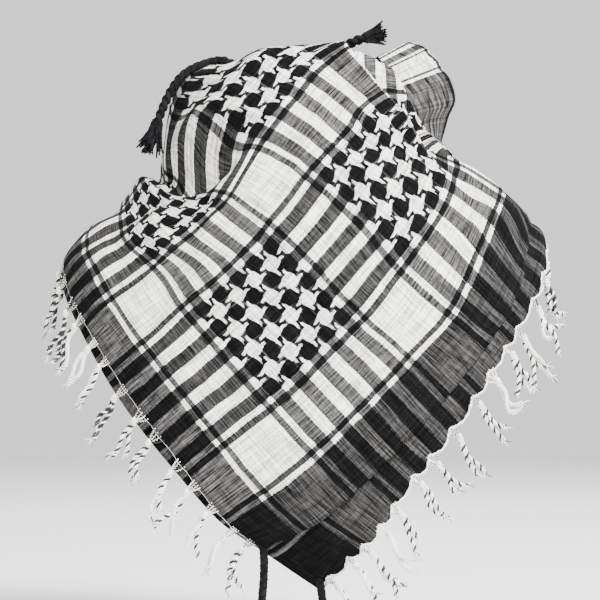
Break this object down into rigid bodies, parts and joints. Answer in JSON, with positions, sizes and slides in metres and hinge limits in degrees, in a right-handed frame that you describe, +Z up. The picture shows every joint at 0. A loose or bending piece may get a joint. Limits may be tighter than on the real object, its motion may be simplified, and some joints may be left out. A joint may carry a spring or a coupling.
{
  "type": "keffiyeh headscarf",
  "caption": "Square cotton keffiyeh folded to a triangle, draped over chest and shoulders with a loose cowl at the neck, fringed hems and braided corner tails.",
  "frame": {"origin": "middle of the wearer's neck at its base, where the cowl rests", "axes": "+Z up, -Y to the front of the wearer, +X to the right of a view of the front"},
  "size_m": [0.52, 0.2674, 0.6064],
  "materials": {
    "checked_cotton": "matte woven cotton, black and white check with raised houndstooth patches",
    "white_thread": "matte twisted cotton thread",
    "black_thread": "matte braided cotton thread"
  },
  "bodies": {
    "root": {"outer_layer": "checked_cotton", "under_layer": "checked_cotton", "left_end_wrap": "checked_cotton", "right_end_wrap": "checked_cotton", "outer_fringe": "white_thread", "under_fringe": "white_thread", "chest_tail": "black_thread", "under_tail": "black_thread", "right_crest_tail": "black_thread", "left_crest_tail": "black_thread"}
  },
  "joints": []
}
